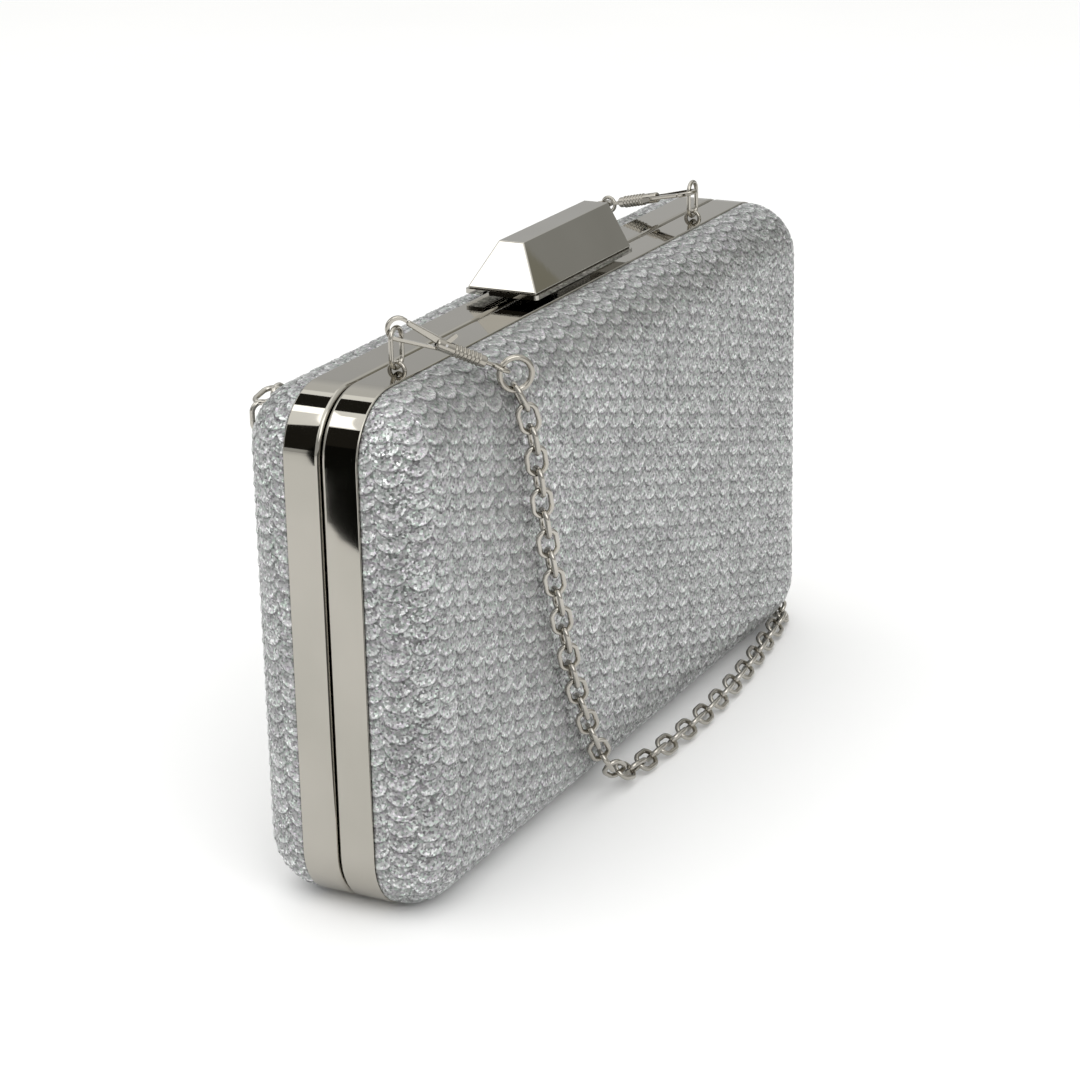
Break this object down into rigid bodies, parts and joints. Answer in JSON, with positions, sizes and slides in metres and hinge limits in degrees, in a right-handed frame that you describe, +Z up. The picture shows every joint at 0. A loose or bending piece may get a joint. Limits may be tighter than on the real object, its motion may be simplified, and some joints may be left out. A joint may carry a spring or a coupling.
{
  "type": "evening bag",
  "caption": "Hard-shell evening box clutch with a polished metal frame, a snap knob clasp and a detachable chain strap.",
  "frame": {"origin": "middle of the bag's bottom edge, where it stands on a table", "axes": "+X to the wearer's right seen from the front, -Y out of the front face, +Z up"},
  "size_m": [0.208, 0.0631, 0.1224],
  "materials": {
    "scallop_glitter_fabric": "silver glitter over raised scallops",
    "satin_lining": "grey satin",
    "moulded_tray": "matt moulded tray",
    "polished_band": "mirror polished nickel",
    "polished_knob": "mirror polished nickel, faceted",
    "polished_hardware": "bright nickel",
    "hardware_steel": "plain nickelled steel",
    "chain_metal": "bright nickel links"
  },
  "bodies": {
    "front_half": {"front_chain": "chain_metal", "front_cover": "scallop_glitter_fabric", "front_frame": "polished_band", "front_lining": "satin_lining", "front_shell": "moulded_tray", "left_hinge_front_leaf": "hardware_steel", "left_hinge_pin": "hardware_steel", "left_jump_ring": "chain_metal", "left_lobster_body": "polished_hardware", "left_lobster_pin": "hardware_steel", "left_lobster_spring": "hardware_steel", "left_ring_eye": "polished_hardware", "right_hinge_front_leaf": "hardware_steel", "right_hinge_pin": "hardware_steel", "right_jump_ring": "chain_metal", "right_lobster_body": "polished_hardware", "right_lobster_pin": "hardware_steel", "right_lobster_spring": "hardware_steel", "right_ring_eye": "polished_hardware", "strike_leaf": "hardware_steel"},
    "back_half": {"back_chain": "chain_metal", "back_cover": "scallop_glitter_fabric", "back_frame": "polished_band", "back_lining": "satin_lining", "back_shell": "moulded_tray", "clasp_bracket": "polished_hardware", "clasp_pin": "hardware_steel", "clasp_spring": "hardware_steel", "left_hinge_back_leaf": "hardware_steel", "right_hinge_back_leaf": "hardware_steel", "slip_pocket": "satin_lining", "top_chain": "chain_metal"},
    "clasp": {"clasp_knob": "polished_knob", "clasp_base_plate": "polished_hardware", "clasp_hook": "polished_hardware"},
    "left_ring": {"left_strap_ring": "polished_hardware"},
    "left_gate": {"left_lobster_gate": "polished_hardware"},
    "left_swivel": {"left_lobster_swivel": "polished_hardware"},
    "right_ring": {"right_strap_ring": "polished_hardware"},
    "right_gate": {"right_lobster_gate": "polished_hardware"},
    "right_swivel": {"right_lobster_swivel": "polished_hardware"}
  },
  "joints": [
    {"name": "case_hinge", "type": "hinge", "parent": "front_half", "child": "back_half", "pos_m": [0, 0, 0.0019], "axis": [-1, 0, 0], "range_deg": [0, 60], "deforming": ["strike_leaf"]},
    {"name": "clasp_tilt", "type": "hinge", "parent": "back_half", "child": "clasp", "pos_m": [0, 0.0048, 0.1116], "axis": [-1, 0, 0], "range_deg": [0, 14], "stiffness_Nm_per_rad": 0.01, "springref_deg": -17.19},
    {"name": "left_ring_swing", "type": "hinge", "parent": "front_half", "child": "left_ring", "pos_m": [-0.076, -0.0042, 0.11065], "axis": [1, 0, 0], "range_deg": [0, 3]},
    {"name": "left_gate_press", "type": "hinge", "parent": "front_half", "child": "left_gate", "pos_m": [-0.06893, -0.01146, 0.1143], "axis": [-0.7165, -0.6976, 0], "range_deg": [0, 12], "stiffness_Nm_per_rad": 0.0004, "springref_deg": -11.46},
    {"name": "left_swivel_turn", "type": "hinge", "parent": "front_half", "child": "left_swivel", "pos_m": [-0.06105, -0.01956, 0.10828], "axis": [0.6257, -0.6427, -0.4421], "range_deg": [-8, 8]},
    {"name": "right_ring_swing", "type": "hinge", "parent": "front_half", "child": "right_ring", "pos_m": [0.067, -0.0042, 0.11065], "axis": [1, 0, 0], "range_deg": [-5, 4]},
    {"name": "right_gate_press", "type": "hinge", "parent": "front_half", "child": "right_gate", "pos_m": [0.06616, 0.00653, 0.11413], "axis": [0, 0.2334, 0.9724], "range_deg": [0, 12], "stiffness_Nm_per_rad": 0.0004, "springref_deg": -11.46},
    {"name": "right_swivel_turn", "type": "hinge", "parent": "front_half", "child": "right_swivel", "pos_m": [0.06852, 0.01876, 0.11119], "axis": [0.1537, 0.9608, -0.2306], "range_deg": [-8, 8]}
  ]
}
